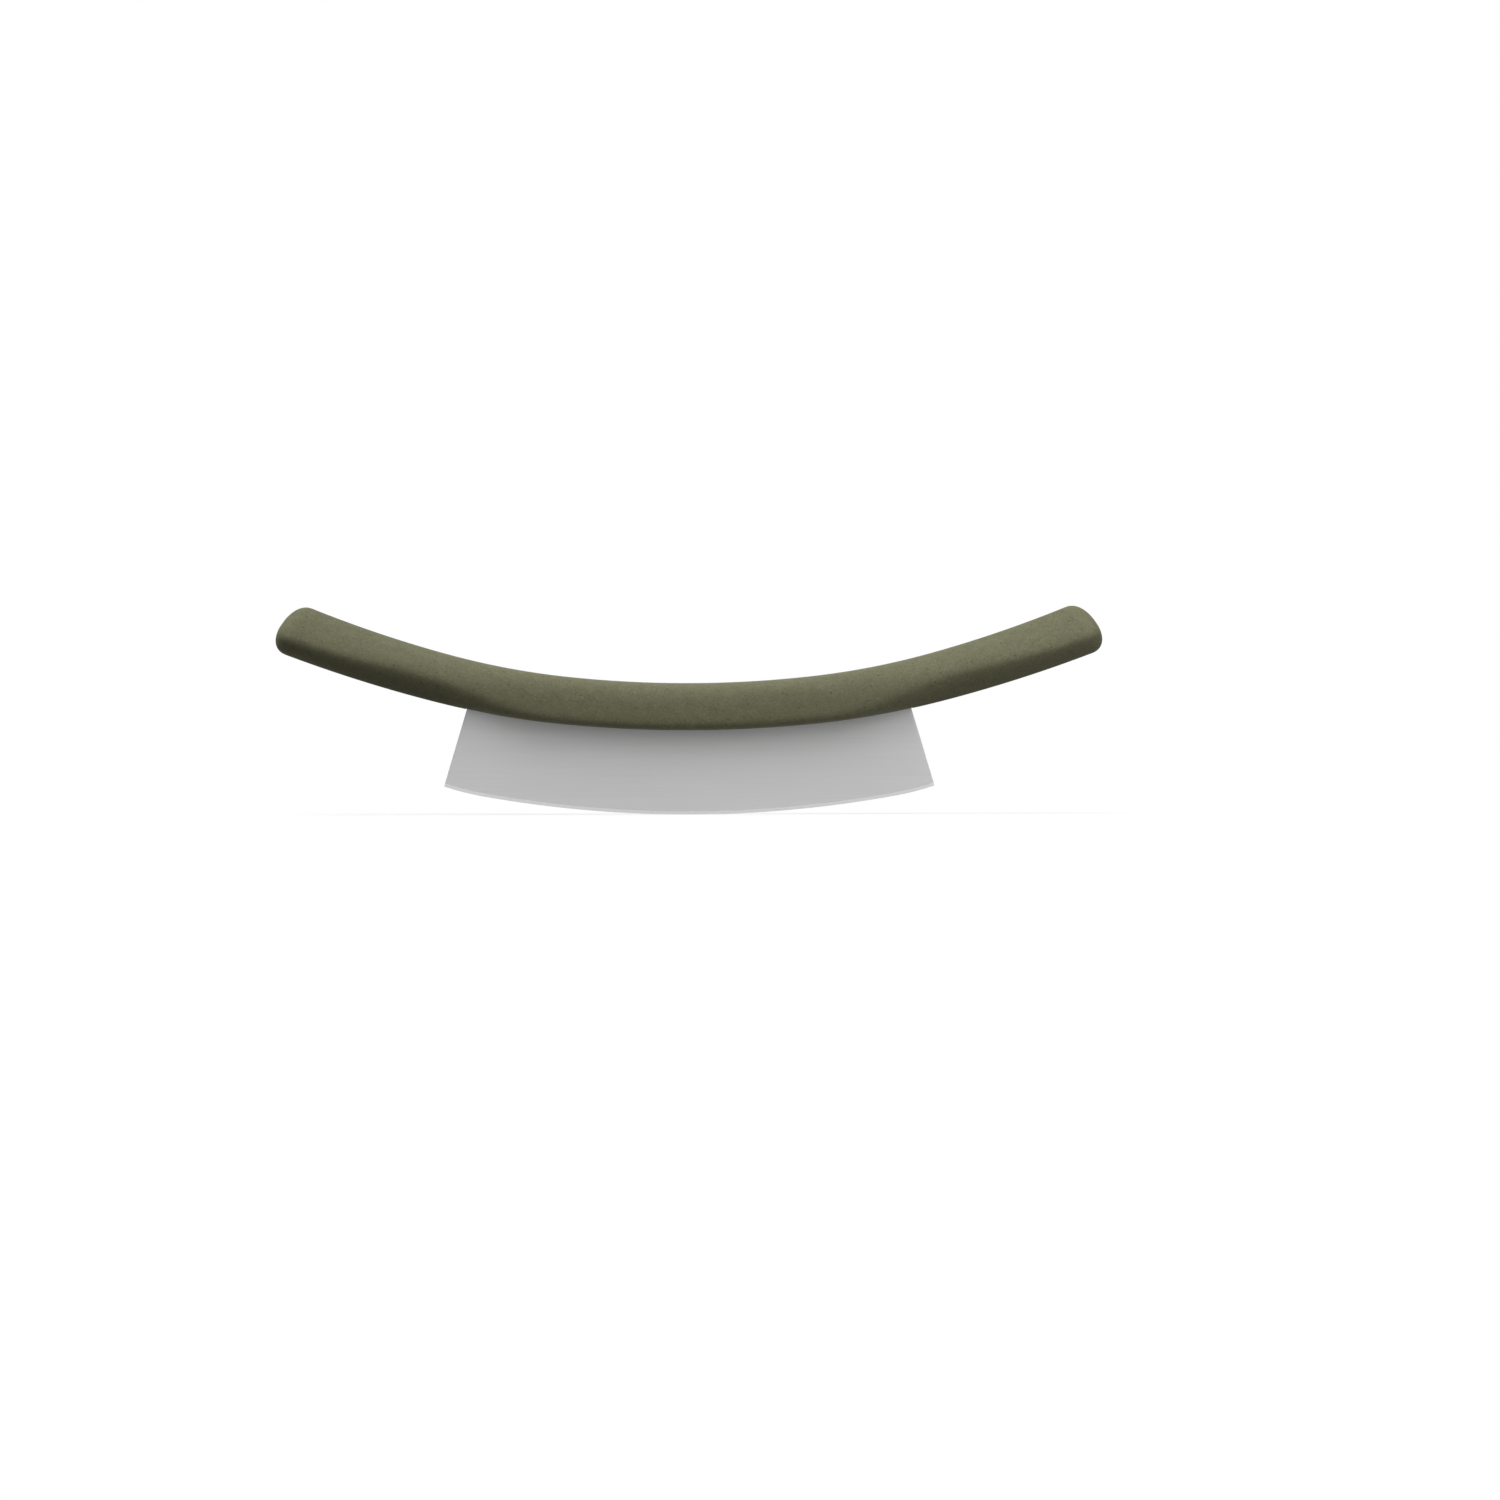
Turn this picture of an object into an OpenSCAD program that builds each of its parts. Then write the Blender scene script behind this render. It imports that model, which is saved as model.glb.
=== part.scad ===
// Mezzaluna: a curved chopping blade hung under a long curved handle.
// X runs along the handle, Y across the blade, Z up from the cutting edge.
// The origin is the lowest point of the cutting edge.

/* [Handle length and curve] */
// Overall length of the handle, tip to tip
handle_l = 370; // [330:1:420]
// Radius of the handle's centre curve over its middle
middle_r = 535; // [450:5:650]
// Radius of the centre curve at each shoulder
shoulder_r = 360; // [320:5:450]
// Radius of the centre curve along each arm
arm_r = 595; // [450:5:900]
// Distance along the curve from the middle to the shoulder
shoulder_from = 56; // [45:1:70]
// Distance along the curve from the middle to the arm
arm_from = 112; // [95:1:125]

/* [Handle section] */
// Height of the handle at its middle
middle_h = 21.1; // [18:0.1:26]
// Height of the handle where its end dome starts
end_h = 23.6; // [20:0.1:28]
// Width of the handle at its middle
middle_w = 22; // [19:0.1:27]
// Width of the handle where its end dome starts
end_w = 25.4; // [21:0.1:30]
// Distance along the curve at which the section starts to change to the shoulder's form
form_from = 62; // [50:1:80]
// Distance along the curve at which the shoulder's form is complete
form_to = 118; // [105:1:130]
// The middle's form: run along the top, rise of the side, widest point, fall of the side
middle_form = [0.90, 0.45, -0.42, -0.97]; // [-1:0.01:1]
// The middle's run along the underside, as a share of half the width
middle_under = 0.95; // [0.5:0.01:0.98]
// The shoulder's form: run along the top, rise of the side, widest point, fall of the side
shoulder_form = [0.48, 0.36, -0.08, -0.42]; // [-1:0.01:1]
// The shoulder's run along the underside, as a share of half the width
shoulder_under = 0.32; // [0.2:0.01:0.8]
// The end's form: run along the top, rise of the side, widest point, fall of the side
end_form = [0.38, 0.00, -0.34, -0.66]; // [-1:0.01:1]
// The end's run along the underside, as a share of half the width
end_under = 0.32; // [0.2:0.01:0.8]

/* [Handle ends] */
// How far the end dome bulges out along the handle
dome_l = 8.5; // [6:0.1:12]
// Angle by which the end face leans back towards the middle at its top
end_lean = 8.5; // [0:0.5:15]
// How far the dome's crown lies below the centre curve
crown_drop = 1; // [0:0.1:3]

/* [Blade] */
// Height of the bare blade, from its cutting edge to the handle, at the middle
blade_h = 37.7; // [30:0.1:46]
// Width of the blade across its two lower corners
blade_w = 219.4; // [190:0.2:250]
// Angle by which the blade's sides lean inwards as they rise
side_lean = 16.6; // [12:0.1:20]
// Radius of the cutting edge
edge_r = 519; // [450:1:650]
// Radius of the cutting edge beside each lower corner
relief_r = 120; // [80:1:200]
// Distance in from each lower corner at which that smaller radius starts
relief_l = 17; // [10:0.5:24]
// Thickness of the steel sheet, kept on the tang
stock_t = 2; // [1.5:0.1:3]
// Depth ground off each face of the sheet below the handle
grind_d = 0.1; // [0.05:0.05:0.2]
// Gap between the handle's underside and the top of the ground faces
face_gap = 0.3; // [0.1:0.1:1]
// Height of the bevel along the cutting edge
bevel_h = 1.5; // [1:0.1:4]
// Width of the flat left on the cutting edge
edge_land = 0.2; // [0.1:0.05:0.4]

/* [Tang] */
// How far the tang reaches up into the handle
tang_h = 11; // [9:0.1:13]
// Gap between the tang's edge and its recess in the handle
tang_clear = 0.3; // [0.2:0.05:0.5]
// Length of each glue window through the tang
window_l = 20; // [14:0.5:22]
// Height of each glue window
window_h = 4.4; // [3:0.1:5]
// Distance from the tang's end to its outer pin
pin_edge = 15; // [12:0.5:20]

/* [Pins and dowels] */
// Number of pins through the tang
pin_count = 5; // [3:2:7]
// Diameter of the pins through the tang
pin_d = 4; // [3:0.1:5]
// Length of the pins through the tang
pin_l = 15; // [12:0.5:16]
// Diameter of the dowels in the arms
dowel_d = 4; // [3:0.1:5]
// Length of the dowels in the arms
dowel_l = 14; // [10:0.5:16]
// Radial gap between a pin and its bore
pin_clear = 0.05; // [0.02:0.01:0.1]
// Gap between a pin's end and the bottom of its bore
pin_end_gap = 0.25; // [0.1:0.05:0.5]
// Distance from the tang's end to the inner dowel
inner_dowel_gap = 8; // [7:0.5:10]
// Distance from the start of the end dome to the outer dowel
outer_dowel_gap = 8; // [6:0.5:12]

/* [Slot seal] */
// Height of the seal, up from the handle's underside
seal_h = 2; // [1.5:0.1:3]
// Width of the seal on each side of the tang
seal_w = 1.3; // [1:0.1:1.8]
// How far the seal lies in from the handle's underside
seal_recess = 0.2; // [0.1:0.1:0.5]

/* [Core pockets] */
// Height of the pocket that cores out each arm
pocket_h = 8.6; // [6:0.1:10]
// Depth of the pocket in each half
pocket_d = 6; // [4:0.1:7]
// Wall between the pocket and a dowel's bore
pocket_wall = 3; // [2:0.1:5]

/* [Hidden] */
dowel_count = 4;

steel = "#B9BABC";
composite = "#6B6A52";
seal_grey = "#3A3A38";
pin_steel = "#9C9DA0";

front = -1;
back = 1;
sides = [-1, 1];
// How far a cut runs on past what it cuts
margin = 4;
round_fn = 64;
edge_fn = 1440;

// The handle's centre curve: three arcs in a row, tangent to each other.
// at_angle is its slope at a distance s along it, and centre_point its place in X and Z.
centre_z = blade_h + middle_h / 2;
shoulder_angle = shoulder_from / middle_r * 180 / PI;
arm_angle = shoulder_angle + (arm_from - shoulder_from) / shoulder_r * 180 / PI;
shoulder_point = middle_r * [sin(shoulder_angle), 1 - cos(shoulder_angle)];
arm_point = shoulder_point + arc_step(shoulder_r, shoulder_angle, arm_angle);

function arc_step(r, from, to) = r * [sin(to) - sin(from), cos(from) - cos(to)];

function at_angle(s) =
    s < 0 ? -at_angle(-s)
    : s < shoulder_from ? s / middle_r * 180 / PI
    : s < arm_from ? shoulder_angle + (s - shoulder_from) / shoulder_r * 180 / PI
    : arm_angle + (s - arm_from) / arm_r * 180 / PI;

function rise(s) =
    s < shoulder_from ? arc_step(middle_r, 0, at_angle(s))
    : s < arm_from ? shoulder_point + arc_step(shoulder_r, shoulder_angle, at_angle(s))
    : arm_point + arc_step(arm_r, arm_angle, at_angle(s));

function centre_point(s) =
    let(p = rise(abs(s)))
    [sign(s) * p.x, centre_z + p.y];

// The point a height v above the centre curve, measured square to it.
function above(s, v) =
    let(a = at_angle(s))
    centre_point(s) + v * [-sin(a), cos(a)];

// The distance along the centre curve at which it reaches a given x.
function s_at(x) =
    x < shoulder_point.x ? middle_r * asin(x / middle_r) * PI / 180
    : x < arm_point.x ? shoulder_from + arc_to(x - shoulder_point.x, shoulder_r, shoulder_angle)
    : arm_from + arc_to(x - arm_point.x, arm_r, arm_angle);

function arc_to(x, r, from) = r * (asin(x / r + sin(from)) - from) * PI / 180;

// The arms end where the domed tips reach the overall length.
// The dome's furthest point is found on its outline, and the arm's end is moved until it fits.
first_guess = s_at(handle_l / 2 - dome_l);
dome_steps = 8;
dome_power = 2.2;
lean = tan(end_lean);

function tip_reach(s_end) =
    max([for (t = [0:5:90], side = sides) dome_outline(s_end, t, side).x]);

function dome_outline(s_end, t, side) =
    let(
        v = -crown_drop + (side * end_h / 2 + crown_drop) * shrink(t),
        a = at_angle(s_end)
    )
    above(s_end + bulge(t), v) - lean * v * [cos(a), sin(a)];

function bulge(t) = dome_l * pow(sin(t), 2 / dome_power);

function shrink(t) = t == 90 ? 0 : pow(cos(t), 2 / dome_power);

function fitted(s_end) = s_end + (handle_l / 2 - tip_reach(s_end)) / cos(at_angle(s_end));

arm_end = fitted(fitted(fitted(first_guess)));

// The handle's section changes along the curve: its height and width flare evenly to the ends,
// and its form goes from upright sides over a flat underside to sloping sides over an undercut.
function flare(s) = pow(min(abs(s), arm_end) / arm_end, 2);

function half_h(s) = (middle_h + (end_h - middle_h) * flare(s)) / 2;

function half_w(s) = (middle_w + (end_w - middle_w) * flare(s)) / 2;

function smooth(from, to, s) =
    let(t = max(0, min(1, (abs(s) - from) / (to - from))))
    t * t * (3 - 2 * t);

function mix(a, b, t) = a + (b - a) * t;

function bezier(a, b, c, d, t) =
    a * pow(1 - t, 3) + 3 * b * t * pow(1 - t, 2) + 3 * c * t * t * (1 - t) + d * pow(t, 3);

// Half of the section, as shares of its half-width and half-height, from the top to the bottom.
// Two curves meet at its widest point.
section_steps = 10;
section_top = [0, 1];
section_bottom = [0, -1];

function half_section(s) =
    let(
        form = form_at(s, middle_form, shoulder_form, end_form),
        widest = [1, form[2]],
        under = form_at(s, middle_under, shoulder_under, end_under)
    )
    [
        for (i = [0:section_steps - 1])
            bezier(section_top, [form[0], 1], [1, form[1]], widest, i / section_steps),
        for (i = [0:section_steps])
            bezier(widest, [1, form[3]], [under, -1], section_bottom, i / section_steps),
    ];

function form_at(s, middle, shoulder, end) =
    mix(mix(middle, shoulder, smooth(form_from, form_to, s)), end, smooth(form_to, arm_end, s));

// One ring of points round half of the handle. In the domes the ring shrinks towards the crown.
function ring(s, scale, side) =
    let(
        a = at_angle(s),
        set_back = sign(s) * lean * smooth(arm_from, arm_end, s),
        h = half_h(s),
        w = half_w(s)
    )
    [
        for (p = half_section(s))
            let(
                v = -crown_drop * (1 - scale) + p.y * h * scale,
                q = above(s, v) - set_back * v * [cos(a), sin(a)]
            )
            [q.x, side * p.x * w * scale, q.y]
    ];

ring_pitch = 6;
arm_rings = ceil(arm_end / ring_pitch);
arm_stations = [for (i = [-arm_rings:arm_rings]) i / arm_rings * arm_end];
dome_angles = [for (i = [1:dome_steps - 1]) i * 90 / dome_steps];
ring_size = 2 * section_steps + 1;

function crown(side_x) =
    let(p = above(side_x * (arm_end + dome_l), -crown_drop))
    [p.x, 0, p.y];

// Half of the handle as one closed body, flat on the plane where the two halves meet.
// Its rings run from the left crown to the right one, and each is joined to the next by triangles.
module half_handle(side) {
    rings = [
        for (i = [dome_steps - 2:-1:0])
            ring(-arm_end - bulge(dome_angles[i]), shrink(dome_angles[i]), side),
        for (s = arm_stations) ring(s, 1, side),
        for (t = dome_angles) ring(arm_end + bulge(t), shrink(t), side),
    ];
    last = len(rings) - 1;
    points = [for (r = rings, p = r) p, crown(-1), crown(1)];
    left_crown = len(points) - 2;
    right_crown = len(points) - 1;
    faces = [
        for (r = [0:last - 1], i = [0:ring_size - 1])
            let(
                a = r * ring_size + i,
                b = r * ring_size + (i + 1) % ring_size,
                c = a + ring_size,
                d = b + ring_size
            )
            each [[a, c, b], [b, c, d]],
        for (i = [0:ring_size - 1]) [left_crown, i, (i + 1) % ring_size],
        for (i = [0:ring_size - 1])
            [right_crown, last * ring_size + (i + 1) % ring_size, last * ring_size + i],
    ];
    polyhedron(points, side == front ? faces : [for (f = faces) [f[2], f[1], f[0]]], convexity = 6);
}

// A flat outline in X and Z, made into a slab of a given thickness about the plane Y = 0.
module slab(thickness) {
    rotate([90, 0, 0])
        linear_extrude(thickness, center = true)
            children();
}

// A band that follows the handle's underside, between two heights above it.
band_pitch = 4;

module underside_band(low, high, half_length) {
    steps = ceil(half_length / band_pitch);
    stations = [for (i = [-steps:steps]) i / steps * half_length];
    upper = [for (s = stations) above(s, high - half_h(s))];
    lower = [for (i = [2 * steps:-1:0]) above(stations[i], low - half_h(stations[i]))];
    polygon([each upper, each lower]);
}

// The cutting edge: one large radius, and a smaller one beside each corner that is tangent to it.
ground_t = stock_t - 2 * grind_d;
corner_x = blade_w / 2;
relief_angle = asin((corner_x - relief_l) / edge_r);
relief_centre = [
    (edge_r - relief_r) * sin(relief_angle),
    edge_r - (edge_r - relief_r) * cos(relief_angle),
];
corner_z = relief_centre.y - sqrt(pow(relief_r, 2) - pow(corner_x - relief_centre.x, 2));
bevel_slope = (ground_t - edge_land) / 2 / bevel_h;

// A disc with a bevelled rim, standing on its rim.
module bevelled_disc(r) {
    spare_t = stock_t + 1;
    rotate([90, 0, 0])
        rotate_extrude($fn = edge_fn)
            polygon([
                [0, -spare_t],
                [r - (spare_t - edge_land / 2) / bevel_slope, -spare_t],
                [r, -edge_land / 2],
                [r, edge_land / 2],
                [r - (spare_t - edge_land / 2) / bevel_slope, spare_t],
                [0, spare_t],
            ]);
}

// The wedge below the edge's centre that the large radius holds.
module middle_wedge() {
    reach = edge_r + margin;
    slab(3 * stock_t)
        polygon([
            [0, edge_r],
            [-reach * tan(relief_angle), edge_r - reach],
            [reach * tan(relief_angle), edge_r - reach],
        ]);
}

module edge_form() {
    intersection() {
        translate([0, 0, edge_r])
            bevelled_disc(edge_r);
        middle_wedge();
    }
    for (side = sides)
        difference() {
            translate([side * relief_centre.x, 0, relief_centre.y])
                bevelled_disc(relief_r);
            middle_wedge();
        }
}

// The blade's sides, as x at a given height.
function side_x(z) = corner_x - (z - corner_z) * tan(side_lean);

// The distance along the centre curve at which the blade's side crosses it, found in two goes.
first_crossing = s_at(side_x(centre_z));
tang_end = s_at(side_x(centre_point(first_crossing).y));
side_top_z = centre_point(tang_end).y + end_h;

module side_trapezoid(grow) {
    low_x = side_x(-margin) + grow;
    high_x = side_x(side_top_z) + grow;
    polygon([[-low_x, -margin], [low_x, -margin], [high_x, side_top_z], [-high_x, side_top_z]]);
}

// Pins and windows lie evenly along the middle of the tang's height.
pin_half_count = (pin_count - 1) / 2;
pin_pitch = (tang_end - pin_edge) / pin_half_count;
pin_bore_d = pin_d + 2 * pin_clear;

// Turns a child that points along Z so that it points along Y, and puts it above the centre curve.
module at_curve(s, v) {
    p = above(s, v);
    translate([p.x, 0, p.y])
        rotate([0, -at_angle(s), 0])
            rotate([90, 0, 0])
                children();
}

module at_tang(s) {
    at_curve(s, tang_h / 2 - half_h(s))
        children();
}

// A slot with round ends, centred, with its length along the handle.
module obround(l, h, t) {
    for (side = sides)
        translate([side * (l - h) / 2, 0, 0])
            cylinder(d = h, h = t, center = true, $fn = round_fn);
    cube([l - h, h, t], center = true);
}

// Everything below the tang's top edge, as an outline with a named gap round it.
module tang_outline(low, gap) {
    intersection() {
        side_trapezoid(gap / cos(side_lean));
        underside_band(low, tang_h + gap, tang_end + margin);
    }
}

module blade() {
    color(steel)
        difference() {
            intersection() {
                edge_form();
                slab(stock_t)
                    tang_outline(-blade_h - margin, 0);
            }
            for (side = sides)
                translate([0, side * stock_t, 0])
                    slab(stock_t + 2 * grind_d)
                        underside_band(-blade_h - 2 * margin, -face_gap, tang_end + 3 * margin);
            for (i = [-pin_half_count:pin_half_count])
                at_tang(i * pin_pitch)
                    cylinder(d = pin_bore_d, h = 2 * stock_t, center = true, $fn = round_fn);
            for (i = [-pin_half_count:pin_half_count - 1])
                at_tang((i + 0.5) * pin_pitch)
                    obround(window_l, window_h, 2 * stock_t);
        }
}

// Dowels stand in the arms, one beside the tang and one beside the end dome.
inner_dowel = tang_end + inner_dowel_gap;
outer_dowel = arm_end - outer_dowel_gap;
dowel_places = [-outer_dowel, -inner_dowel, inner_dowel, outer_dowel];
dowel_bore_d = dowel_d + 2 * pin_clear;
pocket_edge = pocket_wall + dowel_bore_d / 2;
pocket_l = outer_dowel - inner_dowel - 2 * pocket_edge;
pocket_middle = (outer_dowel + inner_dowel) / 2;

// The seal fills a groove round the tang where it leaves the handle.
seal_end = tang_end + seal_w + tang_clear;

module handle_half(side) {
    color(composite)
        difference() {
            half_handle(side);
            slab(stock_t)
                tang_outline(-margin, tang_clear);
            slab(stock_t + 2 * seal_w)
                underside_band(-margin, seal_h, seal_end);
            for (i = [-pin_half_count:pin_half_count])
                at_tang(i * pin_pitch)
                    cylinder(d = pin_bore_d, h = pin_l + 2 * pin_end_gap, center = true, $fn = round_fn);
            for (s = dowel_places)
                at_curve(s, 0)
                    cylinder(d = dowel_bore_d, h = dowel_l + 2 * pin_end_gap, center = true, $fn = round_fn);
            for (s = [-pocket_middle, pocket_middle])
                at_curve(s, 0)
                    obround(pocket_l, pocket_h, 2 * pocket_d);
        }
}

module handle_front() {
    handle_half(front);
}

module handle_back() {
    handle_half(back);
}

module slot_seal() {
    color(seal_grey)
        difference() {
            slab(stock_t + 2 * seal_w)
                underside_band(seal_recess, seal_h, seal_end);
            slab(stock_t)
                side_trapezoid(0);
        }
}

module tang_pin(i) {
    color(pin_steel)
        at_tang((i - pin_half_count - 1) * pin_pitch)
            cylinder(d = pin_d, h = pin_l, center = true, $fn = round_fn);
}

module locating_dowel(i) {
    color(pin_steel)
        at_curve(dowel_places[i - 1], 0)
            cylinder(d = dowel_d, h = dowel_l, center = true, $fn = round_fn);
}

blade();
handle_front();
handle_back();
slot_seal();
for (i = [1:pin_count])
    tang_pin(i);
for (i = [1:dowel_count])
    locating_dowel(i);
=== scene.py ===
# %% [markdown]
# # A mezzaluna, dressed for its photograph
# The tool is a curved chopping blade under one long curved handle, and two hands rock it on a
# board. Its sizes and joins were settled first, as a measured model, and that model is the frame of
# this lesson. It is loaded in metres, and every piece made here lies exactly where it says.

# %% Load the measured model
import math

import bmesh
import bpy
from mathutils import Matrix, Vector


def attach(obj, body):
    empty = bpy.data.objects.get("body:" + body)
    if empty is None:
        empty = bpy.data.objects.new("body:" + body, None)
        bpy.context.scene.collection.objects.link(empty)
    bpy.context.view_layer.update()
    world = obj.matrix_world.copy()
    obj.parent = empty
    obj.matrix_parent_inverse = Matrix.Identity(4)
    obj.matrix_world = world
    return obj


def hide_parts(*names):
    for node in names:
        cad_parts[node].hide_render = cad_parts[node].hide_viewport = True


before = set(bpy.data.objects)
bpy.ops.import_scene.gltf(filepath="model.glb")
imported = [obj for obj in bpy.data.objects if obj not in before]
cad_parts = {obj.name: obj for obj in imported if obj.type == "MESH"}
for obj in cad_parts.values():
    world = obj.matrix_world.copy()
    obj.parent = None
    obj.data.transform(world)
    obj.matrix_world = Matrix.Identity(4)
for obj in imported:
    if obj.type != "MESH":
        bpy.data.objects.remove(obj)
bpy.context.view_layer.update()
print("measured pieces:", ", ".join(sorted(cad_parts)))

# %% [markdown]
# ## Sizes, colours and nodes
# The tool is drawn in millimetres and Blender works in metres, so one number turns the first into
# the second. A colour is written as it looks on a screen, but light adds up in linear values, so
# one function turns it.
# A material is a tree of nodes. One function adds a node with its settings and its links.

# %% Helpers for sizes, colours and nodes
mm = 0.001


def linear(hex_colour):
    """Turns a screen colour such as '#808080' into the linear one that a shader works with."""
    shares = [int(hex_colour[i:i + 2], 16) / 255 for i in (1, 3, 5)]
    return [c / 12.92 if c <= 0.04045 else ((c + 0.055) / 1.055) ** 2.4 for c in shares] + [1]


def add_node(tree, kind, inputs=None, **settings):
    """Adds one node. settings are its own choices; inputs are values, or outputs of other nodes."""
    node = tree.nodes.new("ShaderNode" + kind)
    for name, value in settings.items():
        setattr(node, name, value)
    for name, value in (inputs or {}).items():
        if isinstance(value, bpy.types.NodeSocket):
            tree.links.new(value, node.inputs[name])
        else:
            node.inputs[name].default_value = value
    return node


def empty_tree(owner):
    """Clears the nodes of a new material or world, and gives its tree."""
    owner.use_nodes = True
    owner.node_tree.nodes.clear()
    return owner.node_tree


print("a screen grey of #808080 is linear", round(linear("#808080")[0], 3))

# %% [markdown]
# ## The camera
# The tool was photographed straight on and from well back, so its arms show no perspective.
# A camera two metres away with a long lens does the same. The frame is 671 mm wide at the tool.
# The tool stands left of the middle of the picture, so the camera looks past its right half.

# %% Camera
view_distance = 2000 * mm
view_width = 671.2 * mm
view_middle = (27.2 * mm, 28.8 * mm)
view_roll = 0.13  # degrees
scene = bpy.context.scene
camera_data = bpy.data.cameras.new("front_camera")
camera = bpy.data.objects.new("front_camera", camera_data)
scene.collection.objects.link(camera)
camera.location = (view_middle[0], -view_distance, view_middle[1])
camera.rotation_euler = (math.radians(90), math.radians(view_roll), 0)
camera_data.sensor_width = 36
camera_data.lens = camera_data.sensor_width * view_distance / view_width
scene.camera = camera
print("lens in mm:", round(camera_data.lens, 1))

# %% [markdown]
# ## The room
# The world gives the even light of a pale room. Where the camera or a reflection sees it, it is
# plain white. For all other light it is dim, so that the lamps shade the tool's form. More light
# could make the ground white as well, but it would wash that form out.

# %% The room
scene.view_settings.view_transform = "Standard"
room_level = 0.135
room = bpy.data.worlds.new("pale_room")
scene.world = room
tree = empty_tree(room)


def seen_directly(tree):
    """1 for a ray from the camera, a reflection or a see-through material, 0 for other light."""
    rays = add_node(tree, "LightPath").outputs
    seen = add_node(tree, "Math", {0: rays["Is Camera Ray"], 1: rays["Is Glossy Ray"]},
                    operation="MAXIMUM")
    seen = add_node(tree, "Math", {0: seen.outputs[0], 1: rays["Is Transmission Ray"]},
                    operation="MAXIMUM")
    return seen.outputs[0]


level = add_node(tree, "MapRange", {"Value": seen_directly(tree), "To Min": room_level,
                                    "To Max": 1.0})
air = add_node(tree, "Background", {"Color": (1, 1, 1, 1), "Strength": level.outputs[0]})
add_node(tree, "OutputWorld", {"Surface": air.outputs[0]})
print("light of the room itself:", room_level)

# %% [markdown]
# ## The lamps
# The picture was lit by a large soft light overhead, a little in front of the tool. It makes the
# top of the handle bright, leaves its underside dark, and throws the handle's soft shadow down the
# blade.
# A sun lamp as wide as such a soft light does that evenly along the whole tool.
# A weaker soft light shines from the front, a little to the right and half way up. The steel picks
# it up below the handle. A weak one behind the tool lights its back, which the picture doesn't
# show, and hardly touches the front.
# The right arm is a little brighter on all its faces, so a small lamp stands low in front of it.

# %% The lamps
# Each sun's name, its turn in degrees, its strength, and how wide it looks in degrees
suns = [
    ("overhead_softlight", (15, -14, 0), 1.97, 50),
    ("front_softlight", (50, 0, 14), 0.47, 30),
    ("back_fill", (-52, 0, 0), 0.5, 60),
]
for name, turn, strength, width in suns:
    bpy.ops.object.light_add(type="SUN", rotation=[math.radians(angle) for angle in turn])
    sun = bpy.context.object
    sun.name, sun.data.energy, sun.data.angle = name, strength, math.radians(width)

bpy.ops.object.light_add(type="AREA", location=(400 * mm, -400 * mm, 60 * mm),
                         rotation=(math.radians(88), 0, math.radians(35)))
side_lamp = bpy.context.object
side_lamp.name = "low_side_lamp"
side_lamp.data.energy = 0.68
side_lamp.data.size = 300 * mm
print("lamps:", len(suns), "suns and", side_lamp.name)

# %% [markdown]
# ## The floor
# The tool stands on its cutting edge on a plain pale floor that runs on to the horizon.
# The floor throws little light back up, because the underside of the handle is dark in the picture.
# A glow that only the camera and reflections see makes it white, and the tool's soft shadow stays
# on it. Reflections see a little less of the glow, as the steel mirrors less light from below than
# from above.

# %% The floor
floor_size = 40  # metres
floor_glow, mirrored_glow = 0.7, 0.5  # for the camera, and for reflections
seen_paint, bounced_paint = 0.34, 0.1  # where it is seen, and for the light it throws back
bpy.ops.object.select_all(action="DESELECT")
bpy.ops.mesh.primitive_plane_add(size=floor_size, location=(0, 0, 0))
floor = bpy.context.object
floor.name = "floor"
floor_paint = bpy.data.materials.new("pale_floor_paint")
tree = empty_tree(floor_paint)
to_camera = add_node(tree, "LightPath").outputs["Is Camera Ray"]
glow = add_node(tree, "MapRange", {"Value": to_camera, "To Min": mirrored_glow,
                                   "To Max": floor_glow})
glow = add_node(tree, "Math", {0: seen_directly(tree), 1: glow.outputs[0]}, operation="MULTIPLY")
glow = add_node(tree, "Emission", {"Color": (1, 1, 1, 1), "Strength": glow.outputs[0]})
shade = add_node(tree, "MapRange", {"Value": seen_directly(tree), "To Min": bounced_paint,
                                    "To Max": seen_paint})
paint = add_node(tree, "BsdfDiffuse", {"Color": shade.outputs[0]})
both = add_node(tree, "AddShader", {0: glow.outputs[0], 1: paint.outputs[0]})
add_node(tree, "OutputMaterial", {"Surface": both.outputs[0]})
floor.data.materials.append(floor_paint)
print("floor:", floor_size, "m wide, in", floor_paint.name)

# %% [markdown]
# ## The handle's curve
# The handle was bent to one smooth sweep: a gentle arc in the middle, a tighter one at each
# shoulder where the hands start, and a flatter one along each arm. The arcs meet without a corner.
# All that follows the handle is placed by its distance along this curve and its height above it.

# %% The curve as three arcs
curve_height = 48.25 * mm
arcs = [(535 * mm, 56 * mm), (360 * mm, 56 * mm), (595 * mm, 200 * mm)]  # radius and length of each
arm_end = 178.99 * mm


def along(s):
    """The curve's place and slope at a distance s from its middle, negative to the left."""
    x, z, slope, left_over = 0, curve_height, 0, abs(s)
    for radius, length in arcs:
        step = min(left_over, length)
        left_over -= step
        steeper = slope + step / radius
        x += radius * (math.sin(steeper) - math.sin(slope))
        z += radius * (math.cos(slope) - math.cos(steeper))
        slope = steeper
    side = math.copysign(1, s)
    return Vector((side * x, 0, z)), side * slope


def above(s, height, lean=0):
    """The point at a height above the curve, square to it, or leaning back along it."""
    place, slope = along(s)
    up = Vector((-math.sin(slope), 0, math.cos(slope)))
    out = Vector((math.cos(slope), 0, math.sin(slope)))
    return place + height * (up - lean * out)


def mix(a, b, share):
    """The value that lies a share of the way from a to b."""
    return a + (b - a) * share


def smooth(start, end, s):
    """0 up to the start, 1 from the end on, and an even rise between them."""
    t = max(0, min(1, (abs(s) - start) / (end - start)))
    return t * t * (3 - 2 * t)


print("the arms rise by", round(math.degrees(along(arm_end)[1]), 1), "degrees at their ends")

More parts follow.
